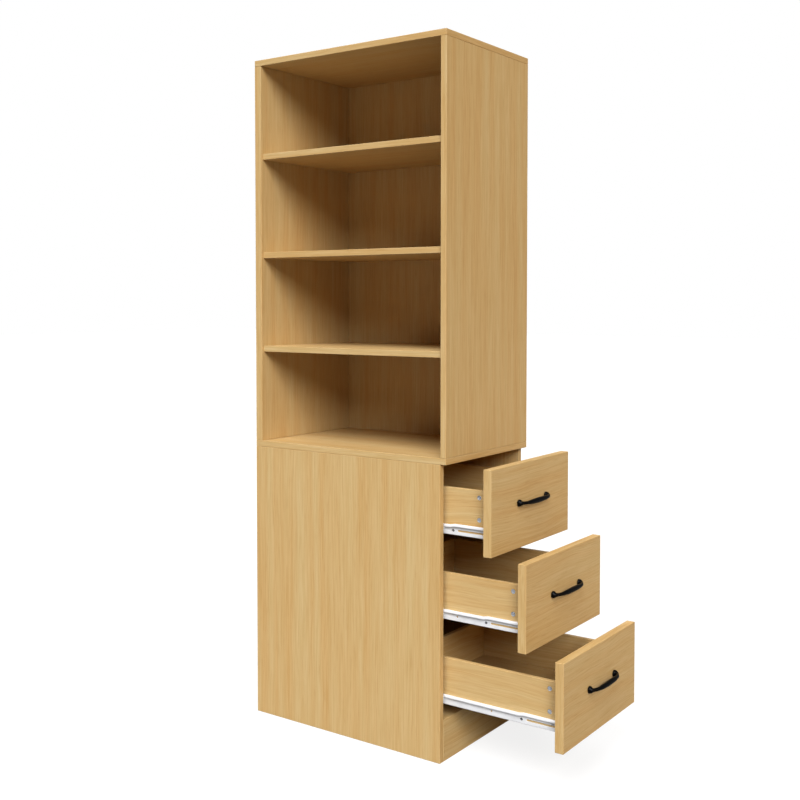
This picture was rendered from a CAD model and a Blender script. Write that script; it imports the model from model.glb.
from math import cos, hypot, pi, radians, sin

import bmesh
import bpy
from mathutils import Matrix, Vector


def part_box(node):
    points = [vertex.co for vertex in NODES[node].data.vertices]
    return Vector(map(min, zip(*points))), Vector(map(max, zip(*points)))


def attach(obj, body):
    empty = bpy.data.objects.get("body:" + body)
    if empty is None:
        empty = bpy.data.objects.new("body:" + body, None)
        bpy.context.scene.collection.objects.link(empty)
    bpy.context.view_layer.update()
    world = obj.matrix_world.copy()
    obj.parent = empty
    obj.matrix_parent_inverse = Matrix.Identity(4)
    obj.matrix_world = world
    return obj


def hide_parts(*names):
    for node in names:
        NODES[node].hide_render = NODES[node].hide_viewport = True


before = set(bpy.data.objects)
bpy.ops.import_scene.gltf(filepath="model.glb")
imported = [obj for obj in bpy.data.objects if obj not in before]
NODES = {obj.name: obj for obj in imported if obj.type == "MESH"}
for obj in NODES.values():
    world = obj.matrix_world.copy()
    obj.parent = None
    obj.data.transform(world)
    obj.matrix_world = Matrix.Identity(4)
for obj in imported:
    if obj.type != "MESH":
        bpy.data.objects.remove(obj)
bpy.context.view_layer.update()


DRAWERS = ("lower", "middle", "upper")
HANDS = (("left", -1), ("right", 1))

# Finishes

# Settings of a node that mixes two numbers, two colours, or a colour with a tint over it
MIX_NUMBERS = {"data_type": "FLOAT"}
MIX_COLOURS = {"data_type": "RGBA"}
TINT = {"data_type": "RGBA", "blend_type": "MULTIPLY"}

# Features of the oak figure: their width across the grain, their thickness and their length
DRIFT = (0.11, 0.05, 0.25)
BANDS = (0.032, 0.02, 0.9)
GROWTH_LINES = (0.003, 0.004, 0.16)
PORES = (0.0014, 0.002, 0.05)
PORE_DEPTH = 0.0002

# The figure's colours: each tint darkens what lies under it
ORANGE_TAN = "#c6a36d"
GREY_TAN = "#caaf7e"
GROWTH_TINT = "#f2ead9"
PORE_TINT = "#f4eee5"

# How far the grain wanders to each side: on the case, on drawer fronts and on drawer sides
BOARD_WANDER = 0.004
FRONT_WANDER = 0.008
SIDE_WANDER = 0.010

# A coating's slightly darker patches are this many times as wide as its grain
PATCH_TIMES = 30
PATCH_TINT = "#f2f2f2"
# How much a coating's roughness varies to each side
GLOSS_PLAY = 0.04
# Melamine resin, powder paint and nylon all bend light about this much
RESIN_IOR = 1.5


def colour(code):
    """An sRGB hex colour as the linear value that a shader takes."""
    shares = [int(code[i : i + 2], 16) / 255 for i in (1, 3, 5)]
    linear = [s / 12.92 if s <= 0.04045 else ((s + 0.055) / 1.055) ** 2.4 for s in shares]
    return (*linear, 1)


def node(tree, kind, settings=None, inputs=None):
    """Adds a node, with its settings, and its inputs as values or as links from other nodes."""
    made = tree.nodes.new("ShaderNode" + kind)
    for name, value in (settings or {}).items():
        setattr(made, name, value)
    for name, value in (inputs or {}).items():
        if isinstance(value, bpy.types.NodeSocket):
            tree.links.new(value, made.inputs[name])
        else:
            made.inputs[name].default_value = value
    return made


def finish(name):
    """A new material: its tree, its Principled shader and the object coordinates."""
    material = bpy.data.materials.new(name)
    material.use_nodes = True
    tree = material.node_tree
    place = node(tree, "TexCoord")
    return material, tree, tree.nodes["Principled BSDF"], place


def oak_board(name, along, across, through, wander):
    """Oak-grain laminate: a printed paper under clear resin, so its figure is soft and flush.

    The figure runs along one axis of the board, and along the edge on the edge banding.
    """
    material, tree, shader, place = finish(name)
    at = node(tree, "SeparateXYZ", inputs={"Vector": place.outputs["Object"]}).outputs
    facing = node(tree, "SeparateXYZ", inputs={"Vector": place.outputs["Normal"]}).outputs
    end_side = node(tree, "Math", {"operation": "ABSOLUTE"}, {0: facing[along]}).outputs[0]
    on_end = node(tree, "Math", {"operation": "GREATER_THAN"}, {0: end_side, 1: 0.5}).outputs[0]
    run = node(
        tree, "Mix", MIX_NUMBERS, {"Factor": on_end, "A": at[along], "B": at[across]}
    ).outputs["Result"]
    side = node(
        tree, "Mix", MIX_NUMBERS, {"Factor": on_end, "A": at[across], "B": at[along]}
    ).outputs["Result"]
    depth = at[through]

    def figure(source, sizes, detail, rough=0.5):
        """Noise drawn out along the grain, with features of the given width, thickness and length."""
        spot = node(tree, "CombineXYZ")
        for number, (value, size) in enumerate(zip((source, depth, run), sizes)):
            scaled = node(tree, "Math", {"operation": "MULTIPLY"}, {0: value, 1: 1 / size})
            tree.links.new(scaled.outputs[0], spot.inputs[number])
        noise = {"Vector": spot.outputs[0], "Scale": 1.0, "Detail": detail, "Roughness": rough}
        return node(tree, "TexNoise", inputs=noise).outputs["Fac"]

    # The grain wanders from side to side over about 250 mm of its length
    drift = figure(side, DRIFT, detail=1.0)
    wandering = {"Value": drift, "From Min": 0.2, "From Max": 0.8, "To Min": -wander, "To Max": wander}
    offset = node(tree, "MapRange", inputs=wandering).outputs[0]
    bent = node(tree, "Math", {"operation": "ADD"}, {0: side, 1: offset}).outputs[0]

    # Broad bands, about 30 mm wide, turn from an orange to a paler, greyer tan
    band = figure(bent, BANDS, detail=2.0)
    band = node(tree, "MapRange", inputs={"Value": band, "From Min": 0.32, "From Max": 0.68}).outputs[0]
    base = node(
        tree, "Mix", MIX_COLOURS, {"Factor": band, "A": colour(ORANGE_TAN), "B": colour(GREY_TAN)}
    ).outputs["Result"]

    # Growth lines lie about 3 mm apart
    lines = figure(bent, GROWTH_LINES, detail=3.0, rough=0.6)
    lines = node(tree, "MapRange", inputs={"Value": lines, "From Min": 0.35, "From Max": 0.65}).outputs[0]
    lined = node(
        tree, "Mix", TINT, {"Factor": lines, "A": base, "B": colour(GROWTH_TINT)}
    ).outputs["Result"]

    # Real pores are about 0.3 mm wide and would not show, so these are 1.4 mm wide and 50 mm long
    pores = figure(bent, PORES, detail=2.0)
    pores = node(tree, "MapRange", inputs={"Value": pores, "From Min": 0.55, "From Max": 0.72}).outputs[0]
    pored = node(
        tree, "Mix", TINT, {"Factor": pores, "A": lined, "B": colour(PORE_TINT)}
    ).outputs["Result"]
    tree.links.new(pored, shader.inputs["Base Color"])

    # The press plate leaves the pores a little deeper and duller than the resin round them
    dull = node(tree, "MapRange", inputs={"Value": pores, "To Min": 0.46, "To Max": 0.6}).outputs[0]
    tree.links.new(dull, shader.inputs["Roughness"])
    relief = node(tree, "Math", {"operation": "MULTIPLY"}, {0: pores, 1: -1.0}).outputs[0]
    bump = node(tree, "Bump", inputs={"Strength": 0.25, "Distance": PORE_DEPTH, "Height": relief})
    tree.links.new(bump.outputs[0], shader.inputs["Normal"])
    shader.inputs["IOR"].default_value = RESIN_IOR
    shader.inputs["Specular IOR Level"].default_value = 0.4
    return material


def coated(name, base, rough, grit, depth, metallic=0.0, specular=0.5):
    """A sprayed, plated or moulded finish: an even colour whose surface has a fine, soft relief."""
    material, tree, shader, place = finish(name)
    spot = place.outputs["Object"]
    grain = node(
        tree, "TexNoise", inputs={"Vector": spot, "Scale": 1 / grit, "Detail": 2.0}
    ).outputs["Fac"]
    patch = node(
        tree, "TexNoise", inputs={"Vector": spot, "Scale": 1 / (grit * PATCH_TIMES), "Detail": 3.0}
    ).outputs["Fac"]
    shade = node(tree, "MapRange", inputs={"Value": patch, "From Min": 0.3, "From Max": 0.7}).outputs[0]
    tint = node(
        tree, "Mix", TINT, {"Factor": shade, "A": colour(base), "B": colour(PATCH_TINT)}
    ).outputs["Result"]
    tree.links.new(tint, shader.inputs["Base Color"])

    low, high = rough - GLOSS_PLAY, rough + GLOSS_PLAY
    glossy = {"Value": grain, "From Min": 0.3, "From Max": 0.7, "To Min": low, "To Max": high}
    gloss = node(tree, "MapRange", inputs=glossy).outputs[0]
    tree.links.new(gloss, shader.inputs["Roughness"])
    bump = node(tree, "Bump", inputs={"Strength": 0.3, "Distance": depth, "Height": grain})
    tree.links.new(bump.outputs[0], shader.inputs["Normal"])
    shader.inputs["Metallic"].default_value = metallic
    shader.inputs["Specular IOR Level"].default_value = specular
    # A metal keeps the shader's own IOR
    if not metallic:
        shader.inputs["IOR"].default_value = RESIN_IOR
    return material


# The figure runs up the upright boards, and along the shelves, the drawer fronts and their sides
UPRIGHT_SIDE = oak_board("oak_laminate_upright_side", "Z", "Y", "X", BOARD_WANDER)
UPRIGHT_PANEL = oak_board("oak_laminate_upright_panel", "Z", "X", "Y", BOARD_WANDER)
SHELF_OAK = oak_board("oak_laminate_shelf", "X", "Y", "Z", BOARD_WANDER)
FRONT_OAK = oak_board("oak_laminate_drawer_front", "Y", "Z", "X", FRONT_WANDER)
DRAWER_SIDE_OAK = oak_board("oak_laminate_drawer_side", "X", "Z", "Y", SIDE_WANDER)

# White powder coat on folded steel: a fine orange peel, 1.2 mm across, under an even sheen
WHITE_POWDER_COAT = coated("white_powder_coat", "#e9eaed", rough=0.38, grit=0.0012, depth=0.00002)
# Moulded nylon: milky white and duller than the steel
MOULDED_NYLON = coated("moulded_nylon", "#e4e2da", rough=0.5, grit=0.0008, depth=0.00001)
# Zinc die-casting with a clear passivation: bluish grey, with the mould's soft frosting
ZINC_CASTING = coated(
    "zinc_die_casting", "#e0e3e8", rough=0.62, grit=0.0007, depth=0.00002, metallic=1.0
)
# Zinc-plated steel screws: a darker grey than the castings, and smoother
PLATED_STEEL = coated(
    "zinc_plated_steel", "#a3a5aa", rough=0.28, grit=0.0006, depth=0.00001, metallic=1.0
)
# Black powder coat: satin, so its lights stay broad, grey and weak
BLACK_POWDER_COAT = coated(
    "black_powder_coat", "#020203", rough=0.34, grit=0.0011, depth=0.00001, specular=0.1
)


def dress(names, material):
    """Gives the kept CAD boards their finish."""
    for name in names:
        for slot in NODES[name].material_slots:
            slot.material = material


dress(("upper_left_side", "upper_right_side", "lower_left_panel"), UPRIGHT_SIDE)
dress(("upper_back_panel", "lower_front_panel", "lower_back_panel"), UPRIGHT_PANEL)
dress(("top_board", "middle_board", "bottom_board"), SHELF_OAK)
dress(("lower_shelf", "middle_shelf", "upper_shelf"), SHELF_OAK)
dress(("plinth_board",), FRONT_OAK)
for drawer in DRAWERS:
    dress((f"{drawer}_drawer_front", f"{drawer}_drawer_back"), FRONT_OAK)
    dress((f"{drawer}_drawer_side_left", f"{drawer}_drawer_side_right"), DRAWER_SIDE_OAK)
    dress((f"{drawer}_drawer_tray",), SHELF_OAK)

# Making pieces

# An edge or a face lies along an axis, or across it, past these parts of its direction
ALONG = 0.9
ACROSS = 0.1
# What is picked by its place lies this near to it
NEAR = 0.0001
# The halves of a mirrored piece are merged within this
MERGE = 0.0001
# Pieces that touch keep this gap
SEAT_GAP = 0.0003

# How many sides the round forms have
DISC_SIDES = 40
SCREW_SIDES = 32
HOLE_SIDES = 24
PULL_SIDES = 16


def stop_editing():
    """Leaves edit mode, if a piece is open for editing."""
    if bpy.context.mode != "OBJECT":
        bpy.ops.object.mode_set(mode="OBJECT")


def begin(adder, sizes=(1, 1, 1), **facts):
    """Adds a primitive on its own, makes its place part of its mesh, and opens it for editing."""
    stop_editing()
    bpy.ops.object.select_all(action="DESELECT")
    adder(**facts)
    piece = bpy.context.object
    piece.scale = sizes
    bpy.ops.object.transform_apply(location=True, rotation=True, scale=True)
    bpy.ops.object.mode_set(mode="EDIT")
    return piece


def begin_round(sides, radius, depth, at):
    """Begins a cylinder whose axis lies along Y, with its middle at a place."""
    return begin(
        bpy.ops.mesh.primitive_cylinder_add,
        vertices=sides,
        radius=radius,
        depth=depth,
        location=at,
        rotation=(pi / 2, 0, 0),
    )


def begin_web(front, rear, depth, low, high):
    """Begins the upright web of a folded sheet, whose middle lies at a depth along Y."""
    return begin(
        bpy.ops.mesh.primitive_plane_add,
        size=1,
        location=((front + rear) / 2, depth, (low + high) / 2),
        rotation=(pi / 2, 0, 0),
        sizes=(front - rear, high - low, 1),
    )


def pick(kind, test):
    """While editing, selects the corners, edges or faces whose middle and direction pass the test."""
    bpy.ops.mesh.select_mode(type=kind)
    bpy.ops.mesh.select_all(action="DESELECT")
    mesh = bpy.context.object.data
    form = bmesh.from_edit_mesh(mesh)
    form.normal_update()
    if kind == "FACE":
        for face in form.faces:
            face.select_set(test(face.calc_center_median(), face.normal))
    elif kind == "EDGE":
        for edge in form.edges:
            start, end = (corner.co for corner in edge.verts)
            edge.select_set(test((start + end) / 2, (end - start).normalized()))
    else:
        for corner in form.verts:
            corner.select_set(test(corner.co, corner.normal))
    bmesh.update_edit_mesh(mesh)


def pick_long_edges(depth=None, height=None):
    """Selects the edges along X that lie at a depth, at a height, or at both."""

    def fits(middle, way):
        deep = depth is None or abs(middle.y - depth) < NEAR
        high = height is None or abs(middle.z - height) < NEAR
        return abs(way.x) > ALONG and deep and high

    pick("EDGE", fits)


def off_axis(place):
    """How far a place lies from the Y axis."""
    return hypot(place.x, place.z)


def pull_out(way):
    """Extrudes what is selected by a vector."""
    bpy.ops.mesh.extrude_region_move(TRANSFORM_OT_translate={"value": way})


def step_in(steps):
    """Insets the picked faces again and again, each time so wide and so far out of the face."""
    for thickness, depth in steps:
        bpy.ops.mesh.inset(thickness=thickness, depth=depth)


def close(piece, name, material, smooth):
    """Ends the editing: names the piece, smooths what curves, and gives it its finish."""
    stop_editing()
    piece.name = name
    piece.data.name = name
    piece.data.materials.clear()
    piece.data.materials.append(material)
    bpy.ops.object.select_all(action="DESELECT")
    piece.select_set(True)
    bpy.context.view_layer.objects.active = piece
    bpy.ops.object.shade_smooth_by_angle(angle=radians(smooth))
    return piece


def apply(piece, kind, **settings):
    """Adds a modifier and applies it."""
    stop_editing()
    bpy.context.view_layer.objects.active = piece
    modifier = piece.modifiers.new(kind.title(), kind)
    for name, value in settings.items():
        setattr(modifier, name, value)
    bpy.ops.object.modifier_apply(modifier=modifier.name)


def combine(piece, other, operation):
    """Cuts another shape out of a piece, or adds it, and removes the other."""
    apply(piece, "BOOLEAN", operation=operation, solver="EXACT", object=other)
    bpy.data.objects.remove(other)


def join(piece, other):
    """Puts another object's mesh into a piece."""
    stop_editing()
    bpy.ops.object.select_all(action="DESELECT")
    other.select_set(True)
    piece.select_set(True)
    bpy.context.view_layer.objects.active = piece
    bpy.ops.object.join()


def copy_to(pattern, name, matrix, body):
    """A copy of a finished piece with its own mesh, set in place and made to ride on a body."""
    piece = pattern.copy()
    piece.data = pattern.data.copy()
    piece.name = name
    piece.data.name = name
    bpy.context.scene.collection.objects.link(piece)
    piece.data.transform(matrix)
    if matrix.determinant() < 0:
        piece.data.flip_normals()
    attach(piece, body)
    return piece


def shift(x, y, z, side):
    """Moves a left-hand pattern into place, and mirrors it for the right-hand side."""
    return Matrix.Translation((x, y, z)) @ Matrix.Diagonal((1, -side, 1, 1))


# Pulls

# How far a pull stands above the middle of its drawer front
PULL_LIFT = 0.008
# Half the distance between a pull's feet
HALF_SPACING = 0.070

# From a foot to the middle: out from the front, along, half width, half height and lean in degrees
PULL_RINGS = (
    (0.00025, 0.0000, 0.00890, 0.00890, 0),
    (0.00180, 0.0000, 0.00900, 0.00900, 0),
    (0.00440, 0.0000, 0.00890, 0.00890, 0),
    (0.00630, 0.0001, 0.00830, 0.00830, 3),
    (0.00770, 0.0003, 0.00730, 0.00730, 12),
    (0.00880, 0.0007, 0.00630, 0.00620, 27),
    (0.00980, 0.0014, 0.00550, 0.00520, 42),
    (0.01090, 0.0030, 0.00490, 0.00460, 51),
    (0.01220, 0.0050, 0.00460, 0.00430, 56),
    (0.01360, 0.0074, 0.00450, 0.00420, 60),
    (0.01510, 0.0101, 0.00460, 0.00420, 64),
    (0.01660, 0.0135, 0.00470, 0.00420, 69),
    (0.01780, 0.0178, 0.00490, 0.00430, 76),
    (0.01860, 0.0232, 0.00520, 0.00480, 82),
    (0.01915, 0.0295, 0.00550, 0.00550, 86),
    (0.01960, 0.0370, 0.00580, 0.00610, 88),
    (0.02000, 0.0480, 0.00605, 0.00655, 89),
    (0.02020, 0.0700, 0.00625, 0.00675, 90),
)


def make_pull():
    """An arched pull: domed round feet, flat necks that lean to the middle and a thick grip."""
    first_out, _, first_radius, _, _ = PULL_RINGS[0]
    piece = begin(
        bpy.ops.mesh.primitive_circle_add,
        vertices=PULL_SIDES,
        radius=first_radius,
        fill_type="NGON",
        location=(first_out, -HALF_SPACING, 0),
        rotation=(0, pi / 2, 0),
    )
    bpy.ops.mesh.select_all(action="SELECT")
    for last, ring in zip(PULL_RINGS, PULL_RINGS[1:]):
        last_out, last_along, last_wide, last_tall, last_lean = last
        out, along, wide, tall, lean = ring
        pull_out((out - last_out, along - last_along, 0))
        centre = (out, along - HALF_SPACING, 0)
        wider = wide / last_wide
        taller = tall / last_tall
        bpy.ops.transform.resize(value=(wider, wider, taller), center_override=centre)
        if lean != last_lean:
            turn = radians(last_lean - lean)
            bpy.ops.transform.rotate(value=turn, orient_axis="Z", center_override=centre)
    bpy.ops.mesh.delete(type="ONLY_FACE")
    apply(piece, "MIRROR", use_axis=(False, True, False), merge_threshold=MERGE)
    apply(piece, "SUBSURF", levels=2, render_levels=2)
    return close(piece, "pull_pattern", BLACK_POWDER_COAT, smooth=60)


# Small round fittings

# A cam disc's face looks along -Y and lies just inside its recess
CAM_RADIUS = 0.0057
CAM_LENGTH = 0.0088
CAM_MIDDLE = 0.00465
CAM_EDGE = 0.0003
# A groove goes round the disc's face, and leaves a raised middle for the cross recess
CAM_STEPS = ((0.0005, 0), (0.0004, -0.0024), (0.0013, 0), (0.0004, 0.0023))
CROSS_REACH = 0.0021
CROSS_WIDTH = 0.0008
CROSS_DEPTH = 0.001
CROSS_AT = 0.0003

# Screws: radius and height of the head, then radius and length of the shank
SLIDE_SCREW = (0.0034, 0.0011, 0.0016, 0.006)
PULL_SCREW = (0.004, 0.0024, 0.0019, 0.024)
# The rounding of a screw's head, and its cross recess's reach, width and depth
HEAD_ROUND_SHARE = 0.7
CROSS_SHARES = (0.7, 0.34, 0.8)

WHEEL_RADIUS = 0.008
WHEEL_EDGE = 0.0006
BORE_RADIUS = 0.0025
# A wheel's rim, a shallow dish, and a hub that leaves the bore
WHEEL_STEPS = ((0.0014, 0), (0.0003, -0.0007), (0.0022, 0), (0.0003, 0.0006), (0.0013, 0))
REAR_WHEEL_WIDTH = 0.0058
FRONT_WHEEL_WIDTH = 0.0033


def make_cross(reach, width, depth, y):
    """A driver recess as a solid cross, to be cut into a face that looks along -Y."""
    block = bpy.ops.mesh.primitive_cube_add
    level_arm = begin(block, (2 * reach, 2 * depth, width), size=1, location=(0, y, 0))
    upright_arm = begin(block, (width, 2 * depth, 2 * reach), size=1, location=(0, y, 0))
    combine(level_arm, upright_arm, "UNION")
    return level_arm


def make_cam_disc():
    """The turning disc of a cam joint: it sinks in a round recess, with a ring round its cross."""
    piece = begin_round(DISC_SIDES, CAM_RADIUS, CAM_LENGTH, (0, CAM_MIDDLE, 0))
    pick("FACE", lambda middle, normal: normal.y < -ALONG)
    step_in(CAM_STEPS)
    pick("EDGE", lambda middle, way: abs(way.y) < ACROSS and off_axis(middle) > CAM_RADIUS - NEAR)
    bpy.ops.mesh.bevel(offset=CAM_EDGE, segments=2, affect="EDGES")
    combine(piece, make_cross(CROSS_REACH, CROSS_WIDTH, CROSS_DEPTH, CROSS_AT), "DIFFERENCE")
    return close(piece, "cam_disc_pattern", ZINC_CASTING, smooth=30)


def make_screw(sizes, name):
    """A pan-head screw with a cross recess, its head's underside at y = 0 and its shank along +Y."""
    head, height, shank, length = sizes
    piece = begin_round(SCREW_SIDES, head, height, (0, -height / 2, 0))
    pick("FACE", lambda middle, normal: normal.y > ALONG)
    bpy.ops.mesh.inset(thickness=head - shank, depth=0)
    pull_out((0, length, 0))
    pick("EDGE", lambda middle, way: abs(way.y) < ACROSS and middle.y < NEAR - height)
    bpy.ops.mesh.bevel(offset=min(height, head) * HEAD_ROUND_SHARE, segments=4, affect="EDGES")
    reach_share, width_share, depth_share = CROSS_SHARES
    cross = make_cross(head * reach_share, head * width_share, height * depth_share, -height)
    combine(piece, cross, "DIFFERENCE")
    return close(piece, name, PLATED_STEEL, smooth=35)


def make_wheel(width, name):
    """A roller with rounded rims, a hub that stands in a shallow dish, and a bore."""
    piece = begin_round(DISC_SIDES, WHEEL_RADIUS, width, (0, 0, 0))
    pick("FACE", lambda middle, normal: abs(normal.y) > ALONG)
    step_in(WHEEL_STEPS)
    bpy.ops.mesh.delete(type="FACE")
    pick("EDGE", lambda middle, way: abs(way.y) < ACROSS and off_axis(middle) < BORE_RADIUS + NEAR)
    bpy.ops.mesh.bridge_edge_loops()
    pick("EDGE", lambda middle, way: abs(way.y) < ACROSS and off_axis(middle) > WHEEL_RADIUS - NEAR)
    bpy.ops.mesh.bevel(offset=WHEEL_EDGE, segments=3, affect="EDGES")
    return close(piece, name, MOULDED_NYLON, smooth=40)


# Slides

# A slide's pattern is the left one. Its depths along Y are those of the sheet's middle, and its heights
# start from the drawer front's lower edge. A runner's places along X start from the front's inner face,
# and a rail's are those of the whole object
SHEET = 0.0012
FOLD = 0.0009

RUNNER_FRONT = -SEAT_GAP
RUNNER_REAR = -0.400
RUNNER_WEB = -0.1754
RUNNER_LOW = 0.0376
RUNNER_HIGH = 0.0619
FOOT_WIDTH = 0.0109
LIP_WIDTH = 0.0059
LIP_DROP = 0.0054
LIP_FOLD = 0.0022
# Near the front, what lies above this height steps up as the lip does
STEP_ABOVE = 0.055
STEP_RISE = 0.0025
STEP_START = -0.107
STEP_END = -0.095

HOLE_RADIUS = 0.0025
HOLE_DEPTH = 0.004
HOLE_HEIGHT = 0.0485
SLOT_FRONT = -0.0145
SLOT_LENGTH = 0.071
SPARE_HOLE = -0.1835

# A rail's flanges end at its front, and the nose goes on from there
RAIL_FRONT = 0.0984
RAIL_REAR = -0.2796
RAIL_NOSE = 0.022
RAIL_WEB = -0.1861
RAIL_LOW = 0.0371
RAIL_HIGH = 0.0549
RAIL_FLANGE = 0.0081

# Roller pins: their place along X and height, and the depths of root, shoulder and end
RUNNER_AXLE = -0.390
RUNNER_AXLE_HEIGHT = 0.046
RUNNER_PIN = (-0.1757, -0.1786, -0.1836)
RAIL_AXLE = 0.1104
RAIL_AXLE_HEIGHT = 0.053
RAIL_PIN = (-0.1858, -0.1807, -0.1768)
PIN_ROOT_RADIUS = 0.0029
PIN_SHOULDER = 0.0007
# A pin's end is rounded by one step: how far in and how far out
PIN_END = (0.0005, 0.0004)


def make_pin(x, z, depths):
    """A riveted roller pin: a wide root up to its shoulder, then the thin journal and its end."""
    root, shoulder, end = depths
    middle_at = (x, (root + shoulder) / 2, z)
    piece = begin_round(HOLE_SIDES, PIN_ROOT_RADIUS, abs(shoulder - root), middle_at)
    way = -1 if shoulder < root else 1
    pick("FACE", lambda middle, normal: normal.y * way > ALONG)
    bpy.ops.mesh.inset(thickness=PIN_SHOULDER, depth=0)
    pull_out((0, end - shoulder, 0))
    step_in((PIN_END,))
    return piece


def make_runner():
    """A drawer's runner, folded from sheet: a foot under the side, a web, and a lip out and down."""
    piece = begin_web(RUNNER_FRONT, RUNNER_REAR, RUNNER_WEB, RUNNER_LOW, RUNNER_HIGH)
    pick_long_edges(height=RUNNER_LOW)
    pull_out((0, FOOT_WIDTH, 0))
    pick_long_edges(height=RUNNER_HIGH)
    pull_out((0, -LIP_WIDTH, 0))
    pull_out((0, 0, -LIP_DROP))
    pick_long_edges(depth=RUNNER_WEB)
    bpy.ops.mesh.bevel(offset=FOLD, segments=4, affect="EDGES")
    pick_long_edges(depth=RUNNER_WEB - LIP_WIDTH, height=RUNNER_HIGH)
    bpy.ops.mesh.bevel(offset=LIP_FOLD, segments=6, affect="EDGES")
    for x in (STEP_START, STEP_END):
        bpy.ops.mesh.select_all(action="SELECT")
        bpy.ops.mesh.bisect(plane_co=(x, 0, 0), plane_no=(1, 0, 0))
    pick("VERT", lambda place, normal: place.x > STEP_END - NEAR and place.z > STEP_ABOVE)
    bpy.ops.transform.translate(value=(0, 0, STEP_RISE))
    apply(piece, "SOLIDIFY", thickness=SHEET, offset=0)

    slot_at = (SLOT_FRONT, RUNNER_WEB, HOLE_HEIGHT)
    slot = begin_round(HOLE_SIDES, HOLE_RADIUS, HOLE_DEPTH, slot_at)
    pick("VERT", lambda place, normal: place.x < SLOT_FRONT - NEAR)
    bpy.ops.transform.translate(value=(-SLOT_LENGTH, 0, 0))
    combine(piece, slot, "DIFFERENCE")
    spare_at = (SPARE_HOLE, RUNNER_WEB, HOLE_HEIGHT)
    spare = begin_round(HOLE_SIDES, HOLE_RADIUS, HOLE_DEPTH, spare_at)
    combine(piece, spare, "DIFFERENCE")
    join(piece, make_pin(RUNNER_AXLE, RUNNER_AXLE_HEIGHT, RUNNER_PIN))
    return close(piece, "runner_pattern", WHITE_POWDER_COAT, smooth=35)


def make_rail():
    """A cabinet rail: a channel with two flanges, and a bare nose that carries its roller."""
    piece = begin_web(RAIL_FRONT, RAIL_REAR, RAIL_WEB, RAIL_LOW, RAIL_HIGH)
    for height in (RAIL_LOW, RAIL_HIGH):
        pick_long_edges(depth=RAIL_WEB, height=height)
        pull_out((0, RAIL_FLANGE, 0))
    pick_long_edges(depth=RAIL_WEB)
    bpy.ops.mesh.bevel(offset=FOLD, segments=4, affect="EDGES")

    def at_the_front(middle, way):
        on_web = abs(middle.y - RAIL_WEB) < NEAR
        return abs(way.z) > ALONG and middle.x > RAIL_FRONT - NEAR and on_web

    pick("EDGE", at_the_front)
    pull_out((RAIL_NOSE, 0, 0))
    apply(piece, "SOLIDIFY", thickness=SHEET, offset=0)
    join(piece, make_pin(RAIL_AXLE, RAIL_AXLE_HEIGHT, RAIL_PIN))
    return close(piece, "rail_pattern", WHITE_POWDER_COAT, smooth=35)


# Fitting the drawers

# Depths along Y of the small fittings, from the middle of the case to each side
REAR_WHEEL_DEPTH = 0.1814
FRONT_WHEEL_DEPTH = 0.1787
RUNNER_SCREW_DEPTH = 0.1760
RAIL_SCREW_DEPTH = 0.1855
CAM_DEPTH = 0.1745

# Places of the screws and discs along X, and their heights over the front's lower edge
RUNNER_SCREWS = (-0.1005, -0.330)
RAIL_SCREWS = (0.0644, -0.0796, -0.2236)
RAIL_SCREW_HEIGHT = 0.046
CAM_BACK = 0.0275
CAM_HEIGHTS = (0.1355, 0.081)

pull = make_pull()
cam_disc = make_cam_disc()
slide_screw = make_screw(SLIDE_SCREW, "slide_screw_pattern")
pull_screw = make_screw(PULL_SCREW, "pull_screw_pattern")
rear_wheel = make_wheel(REAR_WHEEL_WIDTH, "rear_wheel_pattern")
front_wheel = make_wheel(FRONT_WHEEL_WIDTH, "front_wheel_pattern")
runner = make_runner()
rail = make_rail()


def fit_side(drawer, hand, side, back, level):
    """Puts a slide at one side of a drawer, with its wheels and screws, and the side's cam discs."""
    body = f"{drawer}_drawer"
    place = shift(back, 0, level, side)
    track = copy_to(runner, f"{drawer}_folded_runner_{hand}", place, body)
    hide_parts(f"{drawer}_runner_{hand}")
    place = shift(0, 0, level, side)
    channel = copy_to(rail, f"{drawer}_folded_rail_{hand}", place, "carcass")
    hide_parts(f"{drawer}_rail_{hand}")

    place = shift(back + RUNNER_AXLE, side * REAR_WHEEL_DEPTH, level + RUNNER_AXLE_HEIGHT, side)
    turning = f"{drawer}_runner_rollers"
    wheel = copy_to(rear_wheel, f"{drawer}_rear_wheel_{hand}", place, turning)
    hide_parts(f"{drawer}_runner_roller_{hand}")
    place = shift(RAIL_AXLE, side * FRONT_WHEEL_DEPTH, level + RAIL_AXLE_HEIGHT, side)
    turning = f"{drawer}_rail_rollers"
    wheel = copy_to(front_wheel, f"{drawer}_front_wheel_{hand}", place, turning)
    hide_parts(f"{drawer}_rail_roller_{hand}")

    for number, x in enumerate(RUNNER_SCREWS, 1):
        name = f"{drawer}_runner_screw_{hand}_{number}"
        place = shift(back + x, side * RUNNER_SCREW_DEPTH, level + HOLE_HEIGHT, side)
        copy_to(slide_screw, name, place, body)
    for number, x in enumerate(RAIL_SCREWS, 1):
        name = f"{drawer}_rail_screw_{hand}_{number}"
        place = shift(x, side * RAIL_SCREW_DEPTH, level + RAIL_SCREW_HEIGHT, -side)
        copy_to(slide_screw, name, place, "carcass")
    for number, height in enumerate(CAM_HEIGHTS, 1):
        name = f"{drawer}_cam_disc_{hand}_{number}"
        place = shift(back - CAM_BACK, side * CAM_DEPTH, level + height, side)
        copy_to(cam_disc, name, place, body)


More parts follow.
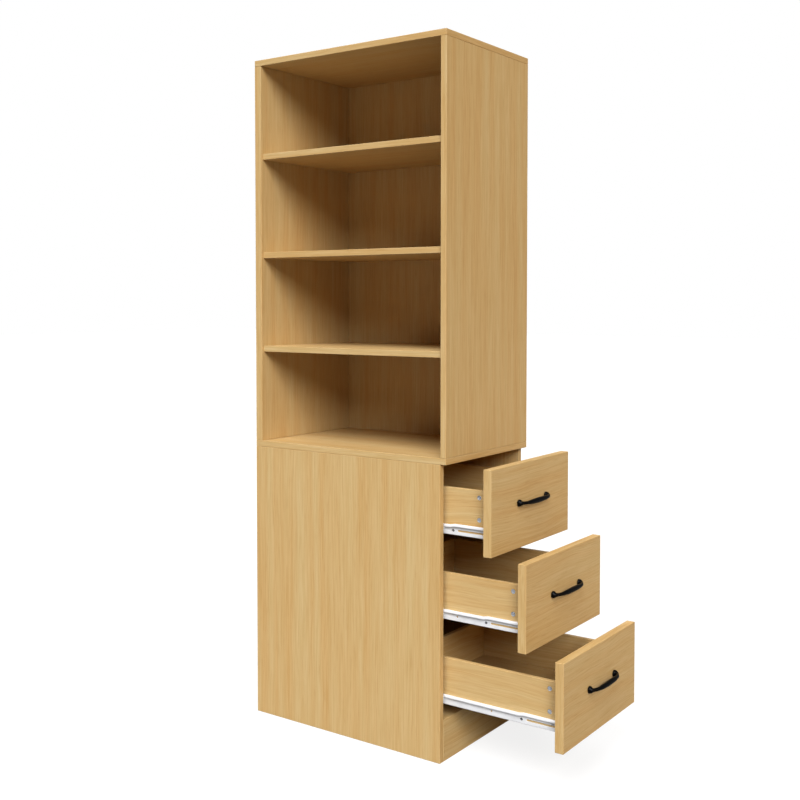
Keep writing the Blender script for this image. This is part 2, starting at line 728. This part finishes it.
def fit_drawer(drawer):
    """Puts a pull with its screws on a drawer's front, and a slide at each side."""
    low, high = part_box(f"{drawer}_drawer_front")
    body = f"{drawer}_drawer"
    pull_height = (low.z + high.z) / 2 + PULL_LIFT
    place = Matrix.Translation((high.x + SEAT_GAP, 0, pull_height))
    arch = copy_to(pull, f"{drawer}_pull", place, body)
    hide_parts(f"{drawer}_handle")
    for hand, side in HANDS:
        place = Matrix.Translation((low.x - SEAT_GAP, side * HALF_SPACING, pull_height))
        place = place @ Matrix.Rotation(-pi / 2, 4, "Z")
        copy_to(pull_screw, f"{drawer}_pull_screw_{hand}", place, body)
        fit_side(drawer, hand, side, low.x, low.z)


for drawer in DRAWERS:
    fit_drawer(drawer)
for pattern in (pull, cam_disc, slide_screw, pull_screw, rear_wheel, front_wheel, runner, rail):
    bpy.data.objects.remove(pattern)

# Studio

FLOOR_SIZE = 60
FLOOR_COLOUR = "#706f6e"
# To the camera the floor also glows this strongly, so that it is white where nothing shades it
FLOOR_LIFT = 0.84
# How strongly the air lights everything, and how strongly it is mirrored
FILL = 0.02
MIRRORED = 0.2
LAMP_DISTANCE = 4

# The camera's lens in mm, its place, and how far it looks down and round in degrees
LENS = 48.83
SENSOR = 36
SHIFT = -0.075
EYE = (1.5731, -2.4134, 1.1429)
LOOK_DOWN = 2.04
LOOK_ROUND = 35.405


def studio_floor():
    """A plain pale floor, which keeps the object's shadow."""
    bpy.ops.object.select_all(action="DESELECT")
    bpy.ops.mesh.primitive_plane_add(size=FLOOR_SIZE)
    floor = bpy.context.object
    floor.name = "studio_floor"
    material, tree, shader, _ = finish("matt_white_floor")
    shader.inputs["Base Color"].default_value = colour(FLOOR_COLOUR)
    shader.inputs["Roughness"].default_value = 0.9
    seen = node(tree, "LightPath").outputs["Is Camera Ray"]
    lift = node(tree, "Math", {"operation": "MULTIPLY"}, {0: seen, 1: FLOOR_LIFT}).outputs[0]
    shader.inputs["Emission Color"].default_value = (1, 1, 1, 1)
    tree.links.new(lift, shader.inputs["Emission Strength"])
    floor.data.materials.append(material)


def studio_world():
    """White where it is seen, a dark room where it is mirrored, and a dim even fill elsewhere."""
    world = bpy.data.worlds.new("studio_air")
    bpy.context.scene.world = world
    world.use_nodes = True
    tree = world.node_tree
    seen = node(tree, "LightPath").outputs
    room = {"Value": seen["Is Glossy Ray"], "To Min": FILL, "To Max": MIRRORED}
    mirrored = node(tree, "MapRange", inputs=room).outputs[0]
    strength = node(
        tree, "Mix", MIX_NUMBERS, {"Factor": seen["Is Camera Ray"], "A": mirrored, "B": 1.0}
    ).outputs["Result"]
    back = tree.nodes["Background"]
    back.inputs["Color"].default_value = (1, 1, 1, 1)
    tree.links.new(strength, back.inputs["Strength"])


def softbox(name, azimuth, height, strength, spread, tint="#ffffff"):
    """A far lamp as wide as a softbox, which lights near and far parts alike; angles in degrees."""
    lamp = bpy.data.lights.new(name, "SUN")
    lamp.energy = strength
    lamp.angle = radians(spread)
    lamp.color = colour(tint)[:3]
    holder = bpy.data.objects.new(name, lamp)
    bpy.context.scene.collection.objects.link(holder)
    turn = radians(azimuth)
    rise = radians(height)
    way = Vector((sin(turn) * cos(rise), -cos(turn) * cos(rise), sin(rise)))
    holder.location = way * LAMP_DISTANCE
    holder.rotation_euler = way.to_track_quat("Z", "Y").to_euler()


studio_floor()
studio_world()
softbox("front_softbox", azimuth=10, height=55, strength=3.32, spread=40)
softbox("side_softbox", azimuth=50, height=29, strength=2.42, spread=28)
softbox("gold_reflector", azimuth=95, height=20, strength=0.5, spread=50, tint="#ffd68f")
softbox("rear_softbox", azimuth=247, height=36, strength=1.6, spread=40)

camera = bpy.data.cameras.new("camera")
camera.lens = LENS
camera.sensor_width = SENSOR
camera.shift_y = SHIFT
eye = bpy.data.objects.new("camera", camera)
bpy.context.scene.collection.objects.link(eye)
eye.location = EYE
eye.rotation_euler = (radians(90 - LOOK_DOWN), 0, radians(LOOK_ROUND))
bpy.context.scene.camera = eye
bpy.context.scene.view_settings.view_transform = "Standard"
